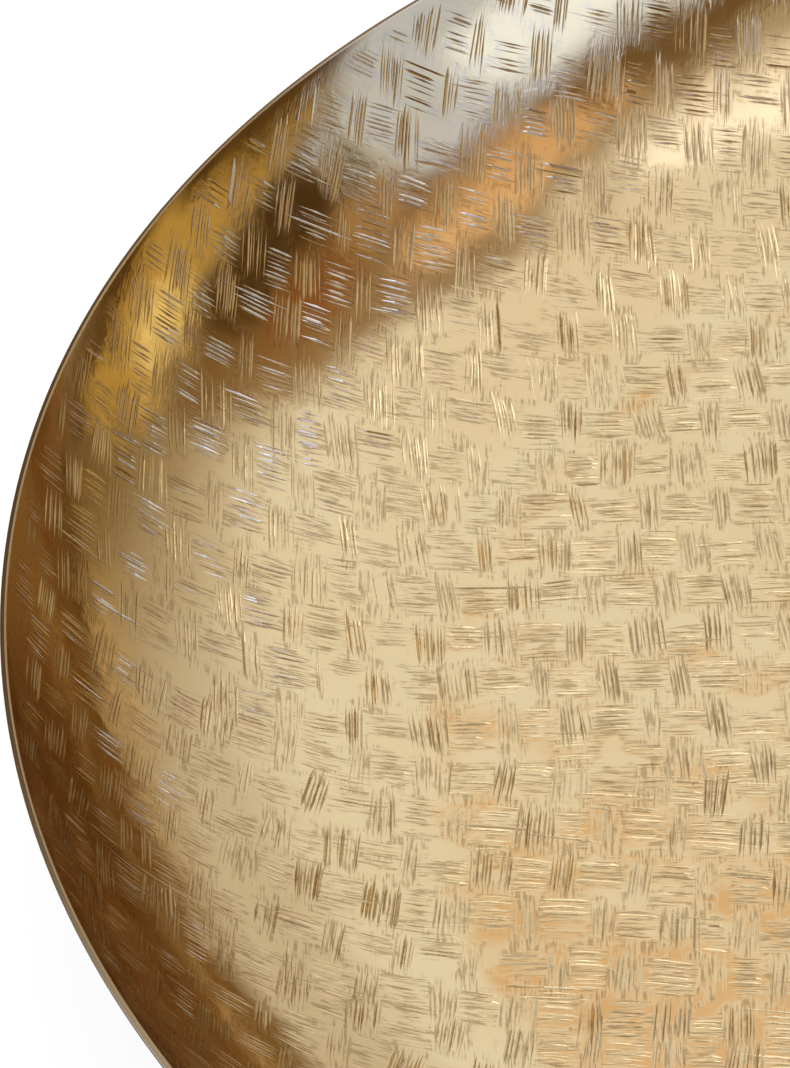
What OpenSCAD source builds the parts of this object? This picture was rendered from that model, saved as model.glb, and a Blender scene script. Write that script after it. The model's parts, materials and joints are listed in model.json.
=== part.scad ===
/* [Dish] */
// Diameter over the rim
tray_d = 360; // [280:5:450]
// Height of the dish, from its underside to the top of the rim
dish_h = 36; // [24:1:48]
// Slope of the wall where it ends at the rim, in degrees
rim_slope = 60; // [45:1:80]
// Thickness of the brass sheet
sheet_t = 1; // [0.8:0.1:2]
// Leg of the small bevel on both corners of the cut edge
edge_bevel = 0.2; // [0.1:0.05:0.35]

/* [Felt pads] */
// Number of pads under the floor
pad_count = 4; // [3:1:6]
// Diameter of a pad
pad_d = 22; // [14:1:30]
// Thickness of the felt
felt_t = 2.6; // [1.6:0.1:5]
// Rounding of the felt's lower edge
felt_edge_r = 0.5; // [0.2:0.1:0.8]
// Distance from a pad's edge to where the wall begins to rise
pad_inset = 8; // [2:1:20]
// Turn of the first pad from the X axis, in degrees
pad_turn = 45; // [0:5:90]

/* [Adhesive] */
// Thickness of the adhesive disc between felt and brass
glue_t = 0.4; // [0.2:0.1:1]
// How far the adhesive disc stays inside the felt's edge
glue_inset = 0.5; // [0.2:0.1:2]

/* [Hidden] */
$fn = 180;
edge_fn = 24; // facets on the felt's small rounding

// Levels above the surface the tray stands on
glue_z = felt_t;
base_z = glue_z + glue_t;

// Wall: one arc, tangent to the floor, that has turned by rim_slope at the rim.
// The bevelled corners of its cut edge reach dish_h and tray_d.
arc_outer_r = (dish_h - (sheet_t - edge_bevel) * cos(rim_slope)) / (1 - cos(rim_slope));
arc_inner_r = arc_outer_r - sheet_t;
floor_r = tray_d / 2 + edge_bevel * cos(rim_slope) - arc_outer_r * sin(rim_slope);
arc_z = base_z + arc_outer_r;

pad_ring_r = floor_r - pad_inset - pad_d / 2;

// Point at radius r from the arc's centre towards the rim, moved by t along the arc there
function rim_point(r, t) =
    [r * sin(rim_slope) + t * cos(rim_slope), t * sin(rim_slope) - r * cos(rim_slope)];

// Half section of the wall, with the arc's centre at the origin: a slice of a ring.
// The slice runs from straight down to the cut at the rim, and both its bevels run on past the ring.
module wall_section() {
    reach = 2 * arc_outer_r;
    back = -2 * edge_bevel;
    intersection() {
        difference() {
            circle(r = arc_outer_r);
            circle(r = arc_inner_r);
        }
        polygon([
            [0, 0],
            [0, -reach],
            rim_point(reach, back),
            rim_point(arc_outer_r + edge_bevel, back),
            rim_point(arc_outer_r - edge_bevel, 0),
            rim_point(arc_inner_r + edge_bevel, 0),
            rim_point(arc_inner_r - edge_bevel, back),
        ]);
    }
}

// One round sheet of brass, pressed to a flat floor and a rising wall, with a plain cut edge
module dish() {
    color("goldenrod") rotate_extrude() {
        translate([0, base_z]) square([floor_r, sheet_t]);
        translate([floor_r, arc_z]) wall_section();
    }
}

// Places its children under the floor, at the seat of pad i
module at_pad(i) {
    rotate(pad_turn + (i - 1) * 360 / pad_count) translate([pad_ring_r, 0]) children();
}

// Felt disc that the tray stands on
module felt_pad() {
    flat_r = pad_d / 2 - felt_edge_r;
    color("dimgray") rotate_extrude() {
        square([flat_r, felt_t]);
        translate([0, felt_edge_r]) square([pad_d / 2, felt_t - felt_edge_r]);
        translate([flat_r, felt_edge_r]) circle(r = felt_edge_r, $fn = edge_fn);
    }
}

// Disc of double-sided adhesive that holds the felt to the brass
module adhesive_disc() {
    color("gainsboro") translate([0, 0, glue_z]) cylinder(h = glue_t, d = pad_d - 2 * glue_inset);
}

dish();
for (i = [1:pad_count]) {
    at_pad(i) felt_pad();
    at_pad(i) adhesive_disc();
}
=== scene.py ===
import json
import math
import bpy
import numpy as np
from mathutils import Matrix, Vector
from mathutils.geometry import delaunay_2d_cdt


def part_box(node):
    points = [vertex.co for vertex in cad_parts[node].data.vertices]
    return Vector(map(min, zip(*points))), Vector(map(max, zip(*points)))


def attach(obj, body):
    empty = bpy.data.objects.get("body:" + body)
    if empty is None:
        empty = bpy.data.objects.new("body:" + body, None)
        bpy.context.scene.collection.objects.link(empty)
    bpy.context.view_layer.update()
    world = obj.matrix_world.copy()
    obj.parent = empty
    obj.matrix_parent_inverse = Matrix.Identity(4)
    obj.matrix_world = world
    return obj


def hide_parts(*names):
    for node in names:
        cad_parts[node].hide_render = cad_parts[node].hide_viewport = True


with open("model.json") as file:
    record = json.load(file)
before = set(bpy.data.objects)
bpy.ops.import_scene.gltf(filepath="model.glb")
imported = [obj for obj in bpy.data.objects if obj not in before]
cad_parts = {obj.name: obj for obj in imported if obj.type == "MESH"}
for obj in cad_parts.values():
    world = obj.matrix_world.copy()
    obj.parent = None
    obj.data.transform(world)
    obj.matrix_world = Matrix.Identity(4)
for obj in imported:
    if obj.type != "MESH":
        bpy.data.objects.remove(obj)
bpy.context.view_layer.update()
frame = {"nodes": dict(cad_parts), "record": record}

mm = 0.001
scene = bpy.context.scene


# Nodes of one material or world. node() makes any node: its settings go in first, then its inputs.
class Graph:
    def __init__(self, tree):
        tree.nodes.clear()
        self.tree = tree

    def node(self, kind, settings=None, inputs=None):
        made = self.tree.nodes.new(kind)
        for name, value in (settings or {}).items():
            if name == "stops":
                self.setStops(made.color_ramp.elements, value)
            else:
                setattr(made, name, value)
        for name, value in (inputs or {}).items():
            if isinstance(value, Wire):
                self.tree.links.new(value.socket, made.inputs[name])
            else:
                made.inputs[name].default_value = value
        return made

    def setStops(self, stops, wanted):
        while len(stops) > 1:
            stops.remove(stops[-1])
        for i, (place, colour) in enumerate(wanted):
            stop = stops[0] if i == 0 else stops.new(place)
            stop.position = place
            stop.color = (*colour, 1)

    def wire(self, kind, settings=None, inputs=None, output=0):
        return Wire(self, self.node(kind, settings, inputs).outputs[output])

    def split(self, vector):
        parts = self.node("ShaderNodeSeparateXYZ", inputs={0: vector}).outputs
        return [Wire(self, part) for part in parts]

    def mixColour(self, factor, a, b):
        a, b = (x if isinstance(x, Wire) else (*x, 1) for x in (a, b))
        settings = {"data_type": "RGBA"}
        return self.wire("ShaderNodeMix", settings, {0: factor, 6: a, 7: b}, output=2)


# One output socket, on which sums and products add their own Math nodes
class Wire:
    def __init__(self, graph, socket):
        self.graph, self.socket = graph, socket

    def run(self, operation, *values):
        settings = {"operation": operation}
        return self.graph.wire("ShaderNodeMath", settings, dict(enumerate(values)))

    def __add__(self, other):
        return self.run("ADD", self, other)

    def __sub__(self, other):
        return self.run("SUBTRACT", self, other)

    def __rsub__(self, other):
        return self.run("SUBTRACT", other, self)

    def __mul__(self, other):
        return self.run("MULTIPLY", self, other)

    def __truediv__(self, other):
        return self.run("DIVIDE", self, other)

    __radd__ = __add__
    __rmul__ = __mul__

    # 0 below low, 1 above high, and smooth between
    def step(self, low, high):
        settings = {"interpolation_type": "SMOOTHSTEP"}
        inputs = {"Value": self, "From Min": low, "From Max": high}
        return self.graph.wire("ShaderNodeMapRange", settings, inputs)


def newMaterial(name):
    made = bpy.data.materials.new(name)
    made.use_nodes = True
    return made, Graph(made.node_tree)


# Studio: camera, surroundings and floor
camera = {
    "lens": 269.7,  # on a 36 mm sensor
    "lookDown": 41.39,  # degrees
    "distance": 6.012,  # rim radii from the aim
    "aim": (-0.706, 0.065),  # rim radii from the axis, in the plane of the rim
}


def makeCamera():
    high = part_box("dish")[1]
    rimR, rimZ = high[0], high[2]
    aim = Vector((camera["aim"][0] * rimR, camera["aim"][1] * rimR, rimZ))
    look = math.radians(camera["lookDown"])
    data = bpy.data.cameras.new("camera")
    data.lens = camera["lens"]
    data.sensor_width = 36
    data.clip_start = 0.01
    data.clip_end = 50
    made = bpy.data.objects.new("camera", data)
    away = Vector((0, -math.cos(look), math.sin(look)))
    made.location = aim + away * camera["distance"] * rimR
    made.rotation_euler = (math.pi / 2 - look, 0, 0)
    scene.collection.objects.link(made)
    scene.camera = made
    print("camera placed")


# The studio's cards and windows as soft-edged boxes of direction. Azimuth counts from +Y towards +X and
# elevation from the horizon, both in degrees; "from" and "to" are (azimuth, elevation) corners.
surroundings = {
    "turned": -70,  # degrees: a direction on the left of this meets the cards again, turned half round
    "sky": [  # (elevation, colour) of the card that goes all the way round
        (0, (0.33, 0.22, 0.09)),
        (6, (0.45, 0.35, 0.22)),
        (12, (0.58, 0.52, 0.46)),
        (20, (0.78, 0.74, 0.70)),
        (28, (0.93, 0.91, 0.90)),
        (36, (1.0, 1.0, 1.0)),
        (66, (1.0, 1.0, 1.0)),
        (76, (0.62, 0.58, 0.54)),
        (90, (0.50, 0.46, 0.41)),
    ],
    "patches": [
        {"from": (-64, 2), "to": (-12, 33), "soft": 5, "colour": (0.20, 0.14, 0.08)},  # dark screens
        {"from": (-10, 0), "to": (13, 25), "soft": 5, "colour": (0.26, 0.19, 0.12)},
        {"from": (14, 8), "to": (54, 28), "soft": 8, "colour": (0.74, 0.69, 0.63)},
        {"from": (34, -2), "to": (48, 10), "soft": 4, "colour": (0.92, 0.78, 0.60)},
        {"from": (10, -2), "to": (28, 9), "soft": 3, "colour": (0.26, 0.17, 0.08)},
        {"from": (20, 46), "to": (75, 64), "soft": 8, "colour": (0.98, 0.92, 0.87)},
        {"from": (77, 56), "to": (124, 70), "soft": 5, "colour": (1.50, 1.50, 1.65)},
        {"from": (-46, 57), "to": (11, 71), "soft": 3, "colour": (2.9, 3.0, 3.2)},  # strip lamp
        {"from": (-16, 44.1), "to": (7, 46.8), "soft": 0.6, "colour": (0.90, 0.62, 0.38)},
        {"from": (62, 34), "to": (118, 54), "soft": 5, "colour": (0.42, 0.31, 0.21)},
        {"from": (97, 40), "to": (134, 49), "soft": 3, "colour": (0.32, 0.22, 0.13)},
        {"from": (73, 41), "to": (99, 50), "soft": 3, "colour": (1.14, 0.80, 0.54)},  # wooden wall
        {"from": (87, 16), "to": (124, 38), "soft": 4, "colour": (1.25, 1.72, 3.6)},  # window
        {"from": (93, 8), "to": (124, 18), "soft": 2.5, "colour": (1.20, 1.70, 3.7)},
        {"from": (100, 21), "to": (124, 36), "soft": 4, "colour": (2.15, 3.0, 6.3)},
        {"from": (60, 16), "to": (85, 38), "soft": 3.5, "colour": (0.42, 0.28, 0.15)},
        {"from": (76, 29), "to": (84, 37), "soft": 2, "colour": (0.72, 0.50, 0.30)},
        {"from": (69, 15), "to": (86, 28), "soft": 3, "colour": (0.15, 0.09, 0.04)},
        {"from": (67, 28), "to": (75, 35), "soft": 2, "colour": (0.42, 0.19, 0.07)},
        {"from": (128, -5), "to": (170, 55), "soft": 8, "colour": (0.30, 0.19, 0.09)},
        {"from": (59, 1), "to": (89, 13), "soft": 2, "colour": (1.06, 0.82, 0.35)},  # lit wood
        {"from": (63, 7), "to": (71, 13), "soft": 2, "colour": (1.9, 1.8, 1.25)},
        {"from": (76, -3), "to": (90, 5.5), "soft": 1.6, "colour": (0.16, 0.09, 0.035)},
        {"from": (81, -3), "to": (96, 10.5), "soft": 2.5, "colour": (0.20, 0.125, 0.05)},
    ],
}


def makeSurroundings():
    world = bpy.data.worlds.new("studio")
    scene.world = world
    world.use_nodes = True
    graph = Graph(world.node_tree)
    way = graph.wire("ShaderNodeTexCoord", output="Generated")
    x, y, z = graph.split(way)
    degree = 180 / math.pi
    elevation = z.run("ARCSINE", z.run("MAXIMUM", z.run("MINIMUM", z, 1), -1)) * degree
    azimuth = x.run("ARCTAN2", x, y) * degree
    # the same cards stand once more on the near side
    azimuth = azimuth + azimuth.run("LESS_THAN", azimuth, surroundings["turned"]) * 180
    stops = [(e / 90, c) for e, c in surroundings["sky"]]
    colour = graph.wire("ShaderNodeValToRGB", {"stops": stops}, {"Fac": elevation / 90})
    for patch in surroundings["patches"]:
        (a0, e0), (a1, e1) = patch["from"], patch["to"]
        soft = patch["soft"]
        across = azimuth.step(a0 - soft, a0 + soft) - azimuth.step(a1 - soft, a1 + soft)
        up = elevation.step(e0 - soft, e0 + soft) - elevation.step(e1 - soft, e1 + soft)
        colour = graph.mixColour(across * up, colour, patch["colour"])
    seen = graph.wire("ShaderNodeLightPath", output="Is Camera Ray")
    colour = graph.mixColour(seen, colour, (1, 1, 1))
    sky = graph.wire("ShaderNodeBackground", inputs={"Color": colour, "Strength": 1.0})
    graph.node("ShaderNodeOutputWorld", inputs={"Surface": sky})
    print("surroundings made")


paper = {
    "half": 3.0,  # metres, half its side
    "card": (0.46, 0.41, 0.35),  # what the metal sees of it
    "shade": (0.25, 0.25, 0.25),  # the part that takes a shadow
    "glow": 0.87,  # the part that is its own
}


# Pale floor: most of its white is its own, so that it meets the white background and keeps a soft shadow.
# The tray sees it as plain grey card, and from below it isn't there.
def makeFloor():
    half = paper["half"]
    mesh = bpy.data.meshes.new("floor")
    corners = [(-half, -half, 0), (half, -half, 0), (half, half, 0), (-half, half, 0)]
    mesh.from_pydata(corners, [], [(0, 1, 2, 3)])
    floor = bpy.data.objects.new("floor", mesh)
    scene.collection.objects.link(floor)
    material, graph = newMaterial("palePaper")
    seen = graph.wire("ShaderNodeLightPath", output="Is Camera Ray")
    behind = graph.wire("ShaderNodeNewGeometry", output="Backfacing")
    card = graph.wire("ShaderNodeEmission", inputs={"Color": (*paper["card"], 1)})
    shade = graph.wire("ShaderNodeBsdfDiffuse", inputs={"Color": (*paper["shade"], 1)})
    glow = graph.wire("ShaderNodeEmission", inputs={"Color": (1, 1, 1, 1), "Strength": paper["glow"]})
    both = graph.wire("ShaderNodeAddShader", inputs={0: shade, 1: glow})
    surface = graph.wire("ShaderNodeMixShader", inputs={0: seen, 1: card, 2: both})
    clear = graph.wire("ShaderNodeBsdfTransparent")
    surface = graph.wire("ShaderNodeMixShader", inputs={0: behind, 1: surface, 2: clear})
    graph.node("ShaderNodeOutputMaterial", inputs={"Surface": surface})
    mesh.materials.append(material)
    print("floor made")


# Dish
dish = {
    "rimSlope": 60,  # degrees, where the wall ends
    "edgeBevel": 0.2 * mm,  # on both corners of the cut edge, as it was designed
    "edgeRound": 0.26 * mm,  # and the soft rounding that stands for it here
    "ringPoints": 360,  # round the rim
    "wallRings": 12,  # on the underside of the wall
    "waves": 28,  # ripples left in the sheet by the striking
    "waveLength": (8 * mm, 34 * mm),
    "waveSlope": 0.62,  # degrees, root mean square
    "calmRim": 6 * mm,  # width by the rim over which the ripples die away
    "parting": 0.71,  # of the reach, where the inner part of the mesh meets the outer part
}
hatch = {
    "rowPitch": 9.0 * mm,
    "bundlePitch": 10.1 * mm,  # from one upright bundle to the next in a row
    "sections": [  # struck one after the other: (upper limit in y, turn in degrees, shift along the rows)
        (1.0, 3.6, 0.0),
        (-2 * mm, -4.8, 4.1 * mm),
        (-62 * mm, -6.5, 1.7 * mm),
    ],
    # of each kind of bundle: strokes, their spacing, length and half width
    "uprights": {"count": (5, 9), "spacing": 0.56 * mm, "length": 8.7 * mm, "half": (0.09, 0.36)},
    "levels": {"count": (6, 10), "spacing": 0.80 * mm, "length": 6.8 * mm, "half": (0.09, 0.33)},
    "needles": 0.55,  # share of strokes that are plain needles, with their widest point in the middle
    "overshot": 0.06,  # share of level strokes that run on into the next bundle
    "overshotBy": 1.45,  # times their length
    "shortest": 0.8 * mm,  # half stroke that is still struck
    "missed": 0.08,  # share of strokes that didn't land
    "overlap": 2.5 * mm,  # of one section on the next
    # how far, as a rule, a bundle strays along its row and across it, and a lying one besides
    "stray": {"along": 0.5 * mm, "row": 0.9 * mm, "across": 0.4 * mm, "lying": 0.9 * mm},
    "strayTurn": 2.0,  # degrees, of a bundle
    "fan": 0.5,  # degrees, from one stroke to the next
    "ownShare": 0.44,  # of the gap to its neighbour that a stroke may fill
    "flank": (8, 31),  # slope of a bundle's strokes, degrees
    "shoulder": 0.62,  # a stroke narrows from here to its tips
    "keel": 0.5,  # and is deepest up to here
    "fullSoil": 0.05 * mm,  # depth from which a groove counts as fully soiled
    "plainRim": 1.5 * mm,  # bare sheet between the strokes and the edge
    "clearGrid": 2.4 * mm,  # between the points that mark bare sheet
    "clearRoom": 0.5 * mm,  # and how far these stay from any stroke
}


# Sizes of the dish, worked out from its box as the CAD does: a wall that is one arc, tangent to the floor
def dishSizes():
    low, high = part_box("dish")
    topMount = [m for m in frame["record"]["mounts"] if m["name"] == "serving_floor"][0]
    slope = math.radians(dish["rimSlope"])
    bevel = dish["edgeBevel"]
    size = {"rimR": high[0], "rimZ": high[2], "baseZ": low[2], "floorZ": topMount["pos_m"][2]}
    size["sheet"] = size["floorZ"] - size["baseZ"]
    height = size["rimZ"] - size["baseZ"]
    size["outerArc"] = (height - (size["sheet"] - bevel) * math.cos(slope)) / (1 - math.cos(slope))
    size["innerArc"] = size["outerArc"] - size["sheet"]
    size["floorR"] = size["rimR"] + bevel * math.cos(slope) - size["outerArc"] * math.sin(slope)
    size["slope"] = slope
    # length of the inside along the sheet, from the middle to where the edge rounding begins
    size["reach"] = size["floorR"] + size["innerArc"] * slope - dish["edgeRound"]
    return size


# Random ripples: a sum of sine waves over the flat sheet. Returns heights and the two slopes at points q.
def ripples(q, reach):
    rng = np.random.default_rng(11)
    n = dish["waves"]
    short, long = dish["waveLength"]
    length = short * (long / short) ** rng.random(n)
    angle = rng.random(n) * 2 * np.pi
    phase = rng.random(n) * 2 * np.pi
    k = (2 * np.pi / length)[:, None] * np.stack([np.cos(angle), np.sin(angle)], 1)
    each = math.tan(math.radians(dish["waveSlope"])) * math.sqrt(2 / n)
    swing = each * length / (2 * np.pi)
    turn = q @ k.T + phase
    edge = np.clip((reach - np.linalg.norm(q, axis=1)) / dish["calmRim"], 0, 1)
    calm = (edge * edge * (3 - 2 * edge))[:, None]
    height = (np.sin(turn) * swing * calm).sum(1)
    slopes = (np.cos(turn) * swing * calm) @ k
    return height, slopes


# The pressed shape: a point at distance s from the middle of the flat sheet lies at radius s on the
# floor, and on the wall it has turned by (s - floorR) / innerArc round the arc's centre. Returns points
# and unit normals, lifted by height along the normal and tilted by the ripples' slopes.
def pressed(q, size, height, slopes):
    s = np.linalg.norm(q, axis=1)
    safe = np.maximum(s, 1e-9)
    c, d = q[:, 0] / safe, q[:, 1] / safe
    turn = np.maximum(s - size["floorR"], 0) / size["innerArc"]
    r = np.where(turn > 0, size["floorR"] + size["innerArc"] * np.sin(turn), s)
    z = size["floorZ"] + size["innerArc"] * (1 - np.cos(turn))
    place = np.stack([r * c, r * d, z], 1)
    normal = np.stack([-np.sin(turn) * c, -np.sin(turn) * d, np.cos(turn)], 1)
    along = np.stack([np.cos(turn) * c, np.cos(turn) * d, np.sin(turn)], 1)
    round_ = np.stack([-d, c, np.zeros_like(c)], 1)
    slopeOut = slopes[:, 0] * c + slopes[:, 1] * d
    slopeRound = (slopes[:, 1] * c - slopes[:, 0] * d) * safe / np.maximum(r, 1e-9)
    place = place + normal * height[:, None]
    normal = normal - along * slopeOut[:, None] - round_ * slopeRound[:, None]
    return place, normal / np.linalg.norm(normal, axis=1)[:, None]


# Lays out every stroke of the hatch on the flat sheet, in metres. Rows of bundles that stand up and lie
# down in turn, each a few parallel strokes; the next row is moved on by half a pitch. Returns one array
# per property.
def layStrokes(size):
    rng = np.random.default_rng(7)
    reach = size["reach"]
    limit = reach - hatch["plainRim"]
    rowPitch, pitch = hatch["rowPitch"], hatch["bundlePitch"]
    rows = np.arange(-int(reach / rowPitch) - 3, int(reach / rowPitch) + 4)
    places = np.arange(-2 * int(reach / pitch) - 6, 2 * int(reach / pitch) + 7)
    row, place = (g.ravel() for g in np.meshgrid(rows, places, indexing="ij"))
    kept = []
    sections, stray = hatch["sections"], hatch["stray"]
    uprights, levels = hatch["uprights"], hatch["levels"]
    upright = place % 2 == 0
    for i, (top, turn, shift) in enumerate(sections):
        n = len(row)
        x = (place / 2 + 0.5 * (row % 2)) * pitch + shift + rng.normal(0, stray["along"], n)
        x = x + np.repeat(rng.normal(0, stray["row"], len(rows)), len(places))
        y = row * rowPitch + rng.normal(0, stray["across"], n)
        y = y + np.where(upright, 0, rng.normal(0, stray["lying"], n))
        a = math.radians(turn)
        centre = np.stack([x * math.cos(a) - y * math.sin(a), x * math.sin(a) + y * math.cos(a)], 1)
        # a section begins along its own rows and ends a little way into the next one
        inside = centre[:, 1] - centre[:, 0] * math.tan(a) < top
        if i + 1 < len(sections):
            nextTop, nextTurn, _ = sections[i + 1]
            nextLine = nextTop - hatch["overlap"]
            inside &= centre[:, 1] - centre[:, 0] * math.tan(math.radians(nextTurn)) >= nextLine
        inside &= np.linalg.norm(centre, axis=1) < reach + 4 * mm
        standing, lying = (rng.integers(k["count"][0], k["count"][1] + 1, n) for k in (uprights, levels))
        counts = np.where(upright, standing, lying)
        spread = rng.uniform(0.82, 1.22, n)
        # a bundle that lies down stops where the ones that stand on either side begin
        width = counts / 2 * uprights["spacing"] * spread
        before = x - np.roll(x + width, 1)
        after = np.roll(x - width, -1) - x
        drawn = centre, upright, np.full(n, a), counts, spread, before, after
        kept.append([values[inside] for values in drawn])
    centre, upright, turn, counts, spread, before, after = (np.concatenate(x) for x in zip(*kept))
    bundles = len(turn)
    turn = turn + rng.normal(0, math.radians(hatch["strayTurn"]), bundles)
    fan = rng.normal(0, math.radians(hatch["fan"]), bundles)
    strength = rng.uniform(*hatch["flank"], bundles)
    soiled = rng.uniform(0.25, 1.0, bundles)

    # from bundles to strokes
    own = np.repeat(np.arange(bundles), counts)
    up = upright[own]
    n = len(own)
    inBundle = np.arange(n) - np.repeat(np.cumsum(counts) - counts, counts) - (counts[own] - 1) / 2
    spacing = np.where(up, uprights["spacing"], levels["spacing"])
    length = np.where(up, uprights["length"], levels["length"])
    narrow = np.where(up, uprights["half"][0], levels["half"][0]) * mm
    wide = np.where(up, uprights["half"][1], levels["half"][1]) * mm
    length = length * rng.normal(1, np.where(up, 0.11, 0.17)).clip(0.5, 1.25)
    aside = (inBundle + rng.uniform(-0.3, 0.3, n)) * spacing * spread[own]
    ahead = rng.normal(0, np.where(up, 0.45 * mm, 0.5 * mm))
    angle = turn[own] + np.where(up, np.pi / 2, 0) + fan[own] * inBundle
    angle = angle + rng.normal(0, math.radians(0.4), n)
    # neighbours in a bundle leave a thin ridge between them
    free = 1.0  # metres, so as good as endless
    gap = np.where(np.diff(own) == 0, np.diff(aside), free)
    roomLeft, roomRight = np.r_[gap, free] * hatch["ownShare"], np.r_[free, gap] * hatch["ownShare"]
    way = np.stack([np.cos(angle), np.sin(angle)], 1)
    side = np.stack([-way[:, 1], way[:, 0]], 1)
    heart = centre[own] + side * aside[:, None]
    front, back = length / 2 + ahead, length / 2 - ahead
    overshot = rng.random(n) < hatch["overshot"]
    ends = [np.where(up | overshot, free, neighbour[own]) for neighbour in (after, before)]
    stretch = np.where(~up & overshot, hatch["overshotBy"], 1.0)
    front = np.minimum(front * stretch, ends[0] + rng.uniform(-0.5, 0.4, n) * mm)
    back = np.minimum(back * stretch, ends[1] + rng.uniform(-0.5, 0.4, n) * mm)
    middle = (front - back) / 2
    heart, front, back = heart + way * middle[:, None], front - middle, back + middle
    # strokes stop at the plain rim
    along = (heart * way).sum(1)
    room = np.sqrt(np.maximum(along**2 + limit**2 - (heart**2).sum(1), 0))
    front = np.minimum(front, room - along)
    back = np.minimum(back, room + along)
    struck = np.linalg.norm(heart, axis=1) < limit - 0.5 * mm
    struck &= (front > hatch["shortest"]) & (back > hatch["shortest"])
    struck &= rng.random(n) > hatch["missed"]
    half = narrow + (wide - narrow) * rng.beta(1.8, 2.2, n)
    lean = rng.uniform(0.5, 1.5, n)
    needle = rng.random(n) < hatch["needles"]
    flank = np.radians(strength[own] * rng.uniform(0.7, 1.3, n))
    strokes = {
        "heart": heart,
        "way": way,
        "side": side,
        "front": front,
        "back": back,
        "left": np.minimum(half * lean, roomLeft),
        "right": np.minimum(half * (2 - lean), roomRight),
        "shoulder": np.where(needle, 0, hatch["shoulder"]),
        "keel": np.where(needle, 0, hatch["keel"]),
        "depth": half * np.tan(flank),
        "soil": soiled[own] * rng.uniform(0.25, 1.0, n),
        "upright": up.astype(float),
    }
    return {name: values[struck] for name, values in strokes.items()}


# Every pair of a point and a stroke that may touch, found by sorting the strokes into cells. Yields for
# each of the nine cells round a point: the points' and strokes' numbers, and the place along and beside
# the stroke.
def nearPairs(q, strokes):
    cell = 7 * mm
    wide = 4096

    def cellOf(p):
        return np.floor(p / cell).astype(np.int64) + wide // 2

    homes = cellOf(strokes["heart"])
    keys = homes[:, 0] * wide + homes[:, 1]
    order = np.argsort(keys, kind="stable")
    keys = keys[order]
    at = cellOf(q)
    for dx in (-1, 0, 1):
        for dy in (-1, 0, 1):
            wanted = (at[:, 0] + dx) * wide + at[:, 1] + dy
            first = np.searchsorted(keys, wanted, "left")
            count = np.searchsorted(keys, wanted, "right") - first
            point = np.repeat(np.arange(len(q)), count)
            step = np.arange(len(point)) - np.repeat(np.cumsum(count) - count, count)
            stroke = order[np.repeat(first, count) + step]
            off = q[point] - strokes["heart"][stroke]
            u = (off * strokes["way"][stroke]).sum(1)
            v = (off * strokes["side"][stroke]).sum(1)
            yield point, stroke, u, v


# How deep the strokes cut at points q. Along a stroke, a runs from 0 at its heart to 1 at a tip. Its half
# width is whole up to the shoulder and then falls to 0, its keel's depth is whole up to the keel's end
# and then falls to 0, and across it the depth falls straight from keel to outline. Returns the depth,
# soiling and direction.
def strokeDepth(q, strokes):
    depth = np.zeros(len(q))
    soil = np.zeros(len(q))
    upright = np.zeros(len(q))
    nearest = np.full(len(q), np.inf)
    for point, stroke, u, v in nearPairs(q, strokes):
        a = np.abs(u) / np.where(u > 0, strokes["front"][stroke], strokes["back"][stroke])
        half = np.where(v > 0, strokes["left"][stroke], strokes["right"][stroke])
        narrowed = half * np.clip((1 - a) / (1 - strokes["shoulder"][stroke]), 1e-6, 1)
        out = np.maximum(np.abs(v) / narrowed, 1 - (1 - a) / (1 - strokes["keel"][stroke]))
        np.maximum.at(depth, point, strokes["depth"][stroke] * np.maximum(1 - out, 0))
        away = np.hypot(np.maximum(a - 1, 0) * 4 * mm, np.abs(v)) + 1e-9 * stroke
        np.minimum.at(nearest, point, away)
        closest = away <= nearest[point]
        soil[point[closest]] = strokes["soil"][stroke[closest]]
        upright[point[closest]] = strokes["upright"][stroke[closest]]
    return depth, soil, upright


# Points on a jittered grid that lie well clear of every stroke: they mark the bare sheet
def bareSheet(strokes, reach):
    rng = np.random.default_rng(3)
    grid = hatch["clearGrid"]
    line = np.arange(-reach, reach, grid)
    q = np.stack(np.meshgrid(line, line), 2).reshape(-1, 2)
    q = q + rng.uniform(-0.4, 0.4, q.shape) * grid
    q = q[np.linalg.norm(q, axis=1) < reach - 2 * grid]
    clear = np.ones(len(q), bool)
    room = hatch["clearRoom"]
    for point, stroke, u, v in nearPairs(q, strokes):
        past = np.abs(u) - np.where(u > 0, strokes["front"][stroke], strokes["back"][stroke])
        beside = np.abs(v) - np.where(v > 0, strokes["left"][stroke], strokes["right"][stroke])
        clear[point[(past < room) & (beside < room)]] = False
    return q[clear]


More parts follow.
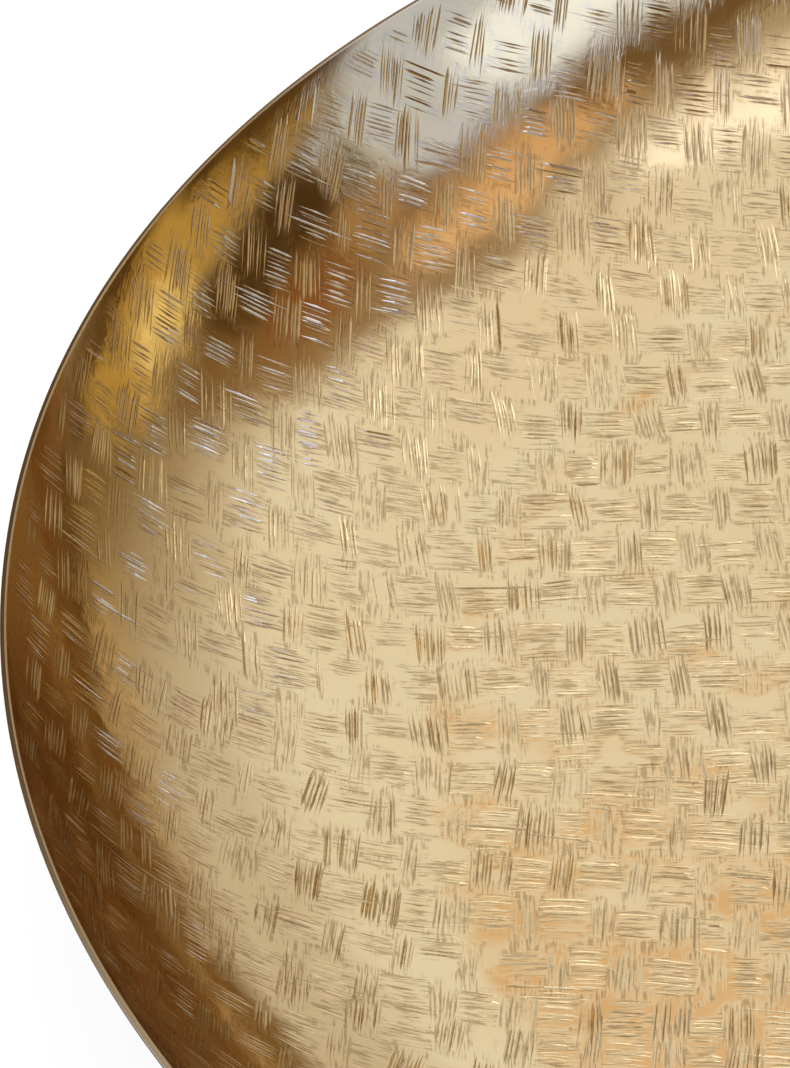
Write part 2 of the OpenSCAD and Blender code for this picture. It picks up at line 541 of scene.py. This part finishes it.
# Cuts the flat disc into triangles along every stroke's outline and keel. An outline has a tip, two
# shoulders, two shoulders and a tip, and the keel has two ends. A needle's shoulders and keel shrink to
# its middle.
def cutSheet(strokes, bare, reach):
    n = len(strokes["depth"])
    ringPoints = dish["ringPoints"]
    turn = np.arange(ringPoints) * 2 * np.pi / ringPoints
    ring = np.stack([np.cos(turn), np.sin(turn)], 1) * reach
    heart, way, side = strokes["heart"], strokes["way"], strokes["side"]
    ahead, behind = way * strokes["front"][:, None], -way * strokes["back"][:, None]
    left, right = side * strokes["left"][:, None], -side * strokes["right"][:, None]
    shoulder, keel = strokes["shoulder"][:, None], strokes["keel"][:, None]
    corners = np.stack([
        heart + ahead,
        heart + ahead * shoulder + left,
        heart + behind * shoulder + left,
        heart + behind,
        heart + behind * shoulder + right,
        heart + ahead * shoulder + right,
        heart + ahead * keel,
        heart + behind * keel,
    ], 1)
    points = np.concatenate([ring, bare, corners.reshape(-1, 2)]) / mm
    first = ringPoints + len(bare) + 8 * np.arange(n)[:, None, None]
    pairs = np.array([(0, 1), (1, 2), (2, 3), (3, 4), (4, 5), (5, 0), (0, 6), (6, 7), (7, 3)])
    cuts = (first + pairs[None]).reshape(-1, 2)
    hoop = np.stack([np.arange(ringPoints), (np.arange(ringPoints) + 1) % ringPoints], 1)
    edges = np.concatenate([hoop, cuts])
    made = delaunay_2d_cdt([Vector(p) for p in points.tolist()], edges.tolist(), [], 0, 1e-4, True)
    flat = np.array([tuple(p) for p in made[0]]) * mm
    triangles = np.array([f for f in made[2] if len(f) == 3], np.int64)
    a, b, c = (flat[triangles[:, i]] for i in range(3))
    area = (b[:, 0] - a[:, 0]) * (c[:, 1] - a[:, 1]) - (b[:, 1] - a[:, 1]) * (c[:, 0] - a[:, 0])
    triangles[area < 0] = triangles[area < 0][:, ::-1]
    ringAt = np.empty(ringPoints, np.int64)
    isBare = np.zeros(len(flat), bool)
    for i, sources in enumerate(made[3]):
        for source in sources:
            if source < ringPoints:
                ringAt[source] = i
            elif source < ringPoints + len(bare):
                isBare[i] = True
    return flat, triangles, ringAt, isBare


# Section of the cut edge and the underside, from the rounding on the inner corner to the middle of the
# base: two quarter rounds about centres inside the edge, the outer arc of the wall, and the flat base.
# Returns radius, height and the normal's two parts, without the last point on the axis.
def undersideSection(size):
    slope, rounding = size["slope"], dish["edgeRound"]
    inwards = np.array([-math.sin(slope), math.cos(slope)])
    onwards = np.array([math.cos(slope), math.sin(slope)])
    centre = np.array([size["floorR"], size["baseZ"] + size["outerArc"]])
    places, normals = [], []
    quarter = np.linspace(0, np.pi / 2, 5)
    for r, a, b in (
        (size["innerArc"] + rounding, inwards, onwards),
        (size["outerArc"] - rounding, onwards, -inwards),
    ):
        middle = centre - inwards * r - onwards * rounding
        ways = np.cos(quarter)[:, None] * a + np.sin(quarter)[:, None] * b
        places.append(middle + ways * rounding)
        normals.append(ways)
    places[0], normals[0] = places[0][1:], normals[0][1:]  # the first is the inside's own edge
    turn = np.linspace(slope - rounding / size["outerArc"], 0, dish["wallRings"] + 1)[1:]
    ways = np.stack([np.sin(turn), -np.cos(turn)], 1)
    places.append(centre + ways * size["outerArc"])
    normals.append(ways)
    r = size["floorR"] * np.array([0.86, 0.7, 0.52, 0.34, 0.17])
    places.append(np.stack([r, np.full(len(r), size["baseZ"])], 1))
    normals.append(np.tile([0.0, -1.0], (len(r), 1)))
    return np.concatenate(places), np.concatenate(normals)


def writeAttribute(mesh, name, kind, domain, values):
    field = "vector" if kind in ("FLOAT_VECTOR", "FLOAT2") else "value"
    made = mesh.attributes.new(name, kind, domain)
    made.data.foreach_set(field, np.ascontiguousarray(values, np.float32).ravel())


# Puts points and triangles into a new mesh object that rides on the tray's only body
def makePiece(name, points, faces):
    mesh = bpy.data.meshes.new(name)
    mesh.vertices.add(len(points))
    mesh.vertices.foreach_set("co", np.ascontiguousarray(points, np.float32).ravel())
    size = faces.shape[1]
    mesh.loops.add(faces.size)
    mesh.loops.foreach_set("vertex_index", np.ascontiguousarray(faces, np.int32).ravel())
    mesh.polygons.add(len(faces))
    mesh.polygons.foreach_set("loop_start", np.arange(0, faces.size, size, dtype=np.int32))
    mesh.polygons.foreach_set("use_smooth", np.ones(len(faces), bool))
    mesh.update(calc_edges=True)
    made = bpy.data.objects.new(name, mesh)
    scene.collection.objects.link(made)
    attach(made, "root")
    return made


# Takes the chosen faces out of the whole sheet as a piece of its own, with its normals, attributes and map
def takePart(name, faces, points, corner, values, cornerMap):
    used, renumbered = np.unique(faces, return_inverse=True)
    piece = makePiece(name, points[used], renumbered.reshape(faces.shape))
    mesh = piece.data
    mesh.normals_split_custom_set(corner.reshape(-1, 3))
    for attribute, value in values.items():
        kind = "FLOAT_VECTOR" if value.ndim == 2 else "FLOAT"
        writeAttribute(mesh, attribute, kind, "POINT", value[used])
    layer = mesh.uv_layers.new(name="OFBake")
    layer.uv.foreach_set("vector", cornerMap.astype(np.float32).ravel())
    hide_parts("dish")
    print(name, "made:", len(used), "points,", len(faces), "faces")
    return piece


def makeDish():
    size = dishSizes()
    reach = size["reach"]
    strokes = layStrokes(size)
    bare = bareSheet(strokes, reach)
    print("hatch laid out:", len(strokes["depth"]), "strokes,", len(bare), "bare points")
    flat, triangles, ringAt, isBare = cutSheet(strokes, bare, reach)
    print("sheet cut:", len(flat), "points,", len(triangles), "triangles")
    depth, soil, upright = strokeDepth(flat, strokes)
    height, slopes = ripples(flat, reach)
    place, normal = pressed(flat, size, height - depth, slopes)
    struck = strokeDepth(flat[triangles].mean(1), strokes)[0] > 1e-7
    print("sheet pressed")

    # edge and underside: rings of the section, turned about the axis
    section, sectionNormal = undersideSection(size)
    ringPoints, rings = dish["ringPoints"], len(section)
    turn = np.arange(ringPoints) * 2 * np.pi / ringPoints
    c, s = np.cos(turn), np.sin(turn)

    def turned(rz):
        return np.stack([rz[:, :1] * c, rz[:, :1] * s, rz[:, 1:] + 0 * c], 2).reshape(-1, 3)

    start = len(flat)
    grid = np.concatenate([ringAt[None], start + np.arange(rings * ringPoints).reshape(rings, -1)])
    a, b = grid[:-1], grid[1:]
    aNext, bNext = np.roll(a, -1, 1), np.roll(b, -1, 1)
    walls = np.stack([a, b, bNext, a, bNext, aNext], 2).reshape(-1, 3)
    pole = start + rings * ringPoints
    last = grid[-1]
    fan = np.stack([last, np.full(ringPoints, pole), np.roll(last, -1)], 1)
    points = np.concatenate([place, turned(section), [[0, 0, size["baseZ"]]]])
    normals = np.concatenate([normal, turned(sectionNormal), [[0, 0, -1.0]]])
    faces = np.concatenate([triangles, walls, fan])
    isTop = np.arange(len(faces)) < len(triangles)

    # struck faces are flat, and the sheet between them is smooth
    a, b, d = (points[faces[:, i]] for i in range(3))
    facet = np.cross(b - a, d - a)
    facet /= np.maximum(np.linalg.norm(facet, axis=1), 1e-30)[:, None]
    corner = normals[faces]
    isStruck = isTop.copy()
    isStruck[isTop] = struck
    corner[isStruck] = facet[isStruck][:, None]

    # flat places for the finish, and a map for the bake. On the underside they count from the pole.
    lengths = np.linalg.norm(np.diff(section, axis=0), axis=1)
    fromPole = section[-1, 0] + np.r_[np.cumsum(lengths[::-1])[::-1], 0]
    ways = np.stack([c, s], 1)
    count = len(points)
    sheet = np.zeros((count, 3))
    sheet[:start, :2] = flat
    sheet[start:pole, :2] = (fromPole[:, None, None] * ways).reshape(-1, 2)
    values = {name: np.zeros(count) for name in ("groove", "soil", "upright", "hatched", "back", "rim")}
    values["sheet"] = sheet
    values["groove"][:start] = np.clip(depth / hatch["fullSoil"], 0, 1)
    values["soil"][:start] = soil
    values["upright"][:start] = upright
    values["hatched"][:start] = ~isBare
    values["hatched"][ringAt] = 0
    values["back"][start:] = 1
    values["rim"][:start] = np.linalg.norm(flat, axis=1) / reach
    inner = np.linalg.norm(flat[triangles].mean(1), axis=1) < reach * dish["parting"]
    isInner = isTop.copy()
    isInner[isTop] = inner
    isOuter = ~isInner
    # the outer part's map: the inside fills a round, and the underside a smaller one beside it
    small = {"middle": 0.81, "radius": 0.185}
    large = {"middle": 0.395, "radius": 0.39}
    under = sheet[:, :2].copy()
    underReach = fromPole[0] + 0.1 * mm
    under[ringAt] = ways * underReach
    topMap = sheet[:, :2][faces] / reach
    underMap = under[faces] / underReach
    outerMap = np.where(
        isTop[:, None, None],
        topMap * large["radius"] + large["middle"],
        underMap * small["radius"] + small["middle"],
    )
    innerMap = 0.5 + topMap / dish["parting"] * 0.47
    brass = struckBrass()
    for name, chosen, cornerMap in (
        ("struck_floor", isInner, innerMap),
        ("struck_wall", isOuter, outerMap),
    ):
        piece = takePart(name, faces[chosen], points, corner[chosen], values, cornerMap[chosen])
        piece.data.materials.append(brass)


brass = {
    "colour": (0.77, 0.62, 0.37),
    "warmColour": (0.70, 0.52, 0.27),
    "rimColour": (0.42, 0.28, 0.107),  # painted shade: darker at the top of the wall, all round
    "stainColour": (0.15, 0.082, 0.021),  # painted shade on the wall to the left of the near side
    "stainLeft": (0.05, 0.11),  # metres: where it begins to the left of the middle, and where it is full
    "stainNear": (-0.008, 0.034),  # and the same towards the near side
    "edgeColour": (0.36, 0.26, 0.14),  # of the cut edge and the underside
    "soilColour": (0.35, 0.25, 0.125),  # left in the grooves
    "grazingTint": (0.85, 0.72, 0.60),  # of what it mirrors at a flat angle
    "roughness": 0.07,
    "grooveRoughness": 0.24,
    "lineDepth": 2.2e-5,  # of the fine lines among the strokes
    "lineWidth": 0.40 * mm,
    "lineLength": 5 * mm,
}


# Polished brass. Fine lines run with the strokes: noise stretched along the sheet's Y in upright bundles
# and along its X in the others. The grooves are soiled and duller. Painted shade darkens the colour
# towards the rim all round, and most on the wall to the left of the near side.
def struckBrass():
    material, graph = newMaterial("struckBrass")

    def read(name, output="Fac"):
        return graph.wire("ShaderNodeAttribute", {"attribute_name": name}, output=output)

    sheet = read("sheet", "Vector")
    groove, soil, upright, hatched, back, rim = (
        read(name) for name in ("groove", "soil", "upright", "hatched", "back", "rim")
    )
    across, along = 1 / brass["lineWidth"], 1 / brass["lineLength"]

    def stretched(scale, detail):
        moved = graph.wire("ShaderNodeMapping", inputs={"Vector": sheet, "Scale": scale})
        settings = {"noise_dimensions": "2D"}
        inputs = {"Vector": moved, "Scale": 1.0, "Detail": detail, "Roughness": 0.6}
        return graph.wire("ShaderNodeTexNoise", settings, inputs)

    standing = stretched((across, along, 1), 2.0)
    lying = stretched((along, across, 1), 2.0)
    lines = upright * standing + (1 - upright) * lying
    speckle = stretched((1600, 1600, 1), 2.0)
    drift = stretched((24, 24, 1), 2.0)
    blotch = stretched((260, 260, 1), 2.0)
    among = hatched.step(0.35, 0.95) * blotch.step(0.34, 0.56)  # between the strokes of a bundle
    inGroove = groove.step(0.02, 0.35)
    fine = lines.step(0.48, 0.6) * among
    colour = graph.mixColour(drift.step(0.4, 0.7) * 0.3, brass["colour"], brass["warmColour"])
    # painted shade: the colour darkens towards the rim all round
    colour = graph.mixColour(rim.step(0.79, 0.92), colour, brass["rimColour"])
    # painted shade on the wall to the left: deepest by the rim, and fades towards the middle and the far
    # side
    x, y, _ = graph.split(sheet)
    leftShade = rim.step(0.81, 0.92) * 0.7 + rim.step(0.925, 0.965) * 0.3
    leftShade = leftShade * (0 - x).step(*brass["stainLeft"]) * (0 - y).step(*brass["stainNear"])
    colour = graph.mixColour(leftShade, colour, brass["stainColour"])
    colour = graph.mixColour(back, colour, brass["edgeColour"])
    dirt = inGroove * soil * (0.6 + speckle.step(0.4, 0.65) * 0.4)
    dirt = dirt.run("MAXIMUM", dirt, fine * 0.65)
    colour = graph.mixColour(dirt, colour, brass["soilColour"])
    rough = brass["roughness"] + blotch * 0.03 + inGroove * brass["grooveRoughness"] + among * 0.04
    rough = rough + back * 0.16
    relief = lines * (0.04 + rim.step(0.76, 0.88) * 0.16 + among * 0.5 + inGroove * 0.8)
    bump = graph.wire("ShaderNodeBump", inputs={
        "Height": relief, "Distance": brass["lineDepth"], "Strength": 1.0,
    })
    finish = graph.wire("ShaderNodeBsdfPrincipled", inputs={
        "Base Color": colour, "Metallic": 1.0, "Roughness": rough, "Normal": bump,
        "Specular Tint": (*brass["grazingTint"], 1),
    })
    graph.node("ShaderNodeOutputMaterial", inputs={"Surface": finish})
    return material


# Felt pads and their adhesive
felt = {
    "colour": (0.052, 0.040, 0.031),
    "fleck": (0.14, 0.115, 0.09),
    "edgeRound": 0.6 * mm,
    "fuzz": 0.16 * mm,  # how far the cut edge strays
    "dimple": 0.10 * mm,  # of the surface
    "lint": (0.30, 0.27, 0.23),
}
film = {
    "colour": (0.62, 0.57, 0.44),
    "bubble": (0.74, 0.70, 0.58),
}


# A pad is its section carried round: from the middle of the underside out, up a rounded edge, up the side
# and back to the middle of the top, with smooth random waves on the radius and small hollows underneath.
def makePad(node, number):
    low, high = (np.array(p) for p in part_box(node))
    centre, radius, thick = (low + high) / 2, (high[0] - low[0]) / 2, high[2] - low[2]
    rng = np.random.default_rng(40 + number)
    edge = felt["edgeRound"]
    quarter = np.linspace(0, np.pi / 2, 7)
    inner = np.linspace(0, 1, 22)[1:] * (radius - edge)
    r = np.r_[inner, radius - edge + edge * np.sin(quarter[1:]), np.full(4, radius)]
    side = edge + (thick - 1.5 * edge) * np.arange(1, 5) / 4
    z = np.r_[0 * inner, edge * (1 - np.cos(quarter[1:])), side]
    r = np.r_[r, radius - 0.25 * edge, (radius - edge) * np.array([1, 0.9, 0.7, 0.45, 0.2])]
    z = np.r_[z, thick - 0.12 * edge, np.full(5, thick)]
    spokes = 180
    turn = np.arange(spokes) * 2 * np.pi / spokes
    stray = np.zeros((len(r), spokes))
    for k in (2, 3, 5, 8, 13, 21, 34, 55):
        wave = np.cos(k * turn + rng.uniform(0, 7) + z[:, None] / mm * rng.normal())
        stray += wave * rng.normal() / k**0.4
    stray = stray / np.abs(stray).max() * felt["fuzz"]
    outer = np.clip(r / radius, 0, 1)[:, None] ** 8
    spread = r[:, None] - felt["fuzz"] * outer + stray * outer
    x, y = spread * np.cos(turn), spread * np.sin(turn)
    lift = np.zeros_like(x)
    for _ in range(24):
        k = rng.normal(0, 1, 2) * 1.9 / mm
        lift += np.cos(x * k[0] + y * k[1] + rng.uniform(0, 7))
    lift = (lift - lift.min()) / (lift.max() - lift.min()) * felt["dimple"]
    height = z[:, None] + lift * (1 - np.clip(z / edge, 0, 1))[:, None]
    points = np.stack([x + centre[0], y + centre[1], height + low[2]], 2).reshape(-1, 3)
    bottom, top = len(points), len(points) + 1
    lowest = low[2] + felt["dimple"] / 2
    points = np.concatenate([points, [[centre[0], centre[1], lowest], [centre[0], centre[1], high[2]]]])
    grid = np.arange(len(r) * spokes).reshape(len(r), spokes)
    a, b = grid[:-1], grid[1:]
    bands = np.stack([a, np.roll(a, -1, 1), np.roll(b, -1, 1), a, np.roll(b, -1, 1), b], 2).reshape(-1, 3)
    first, last = grid[0], grid[-1]
    under = np.stack([np.full(spokes, bottom), np.roll(first, -1), first], 1)
    over = np.stack([np.full(spokes, top), last, np.roll(last, -1)], 1)
    piece = makePiece("felt_" + str(number), points, np.concatenate([bands, under, over]))
    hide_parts(node)
    return piece


# Pressed wool: matted fibres from two layers of twisted noise, with paler flecks
def feltMaterial():
    material, graph = newMaterial("pressedFelt")
    place = graph.wire("ShaderNodeTexCoord", output="Object")

    def noise(scale, detail, twist):
        return graph.wire("ShaderNodeTexNoise", inputs={
            "Vector": place, "Scale": scale, "Detail": detail, "Roughness": 0.65, "Distortion": twist,
        })

    fibres, matting, flecks = noise(900, 4, 2.5), noise(260, 3, 1.2), noise(1500, 1, 3)
    colour = graph.mixColour(fibres.step(0.35, 0.75) * 0.5, felt["colour"], felt["fleck"])
    colour = graph.mixColour(flecks.step(0.64, 0.72) * 0.7, colour, felt["lint"])
    bump = graph.wire("ShaderNodeBump", inputs={"Height": fibres + matting, "Distance": 1.4e-4})
    cloth = graph.wire("ShaderNodeBsdfPrincipled", inputs={
        "Base Color": colour, "Roughness": 0.95, "Normal": bump, "Sheen Weight": 0.5,
        "Sheen Roughness": 0.5, "Specular IOR Level": 0.15,
    })
    graph.node("ShaderNodeOutputMaterial", inputs={"Surface": cloth})
    return material


# Thin acrylic adhesive: creamy, a little glossy, with faint bubbles
def filmMaterial():
    material, graph = newMaterial("adhesiveFilm")
    place = graph.wire("ShaderNodeTexCoord", output="Object")
    bubbles = graph.wire("ShaderNodeTexNoise", inputs={"Vector": place, "Scale": 700, "Detail": 2})
    colour = graph.mixColour(bubbles.step(0.45, 0.7), film["colour"], film["bubble"])
    surface = graph.wire("ShaderNodeBsdfPrincipled", inputs={
        "Base Color": colour, "Roughness": 0.3 + bubbles * 0.2, "Coat Weight": 0.2,
    })
    graph.node("ShaderNodeOutputMaterial", inputs={"Surface": surface})
    return material


def makePads():
    wool, glue = feltMaterial(), filmMaterial()
    for number in (1, 2, 3, 4):
        pad = makePad("felt_pad_" + str(number), number)
        pad.data.materials.append(wool)
        disc = frame["nodes"]["adhesive_disc_" + str(number)]
        disc.data.materials.clear()
        disc.data.materials.append(glue)
    print("pads made")


makeCamera()
makeSurroundings()
makeFloor()
makeDish()
makePads()

scene.view_settings.view_transform = "Standard"
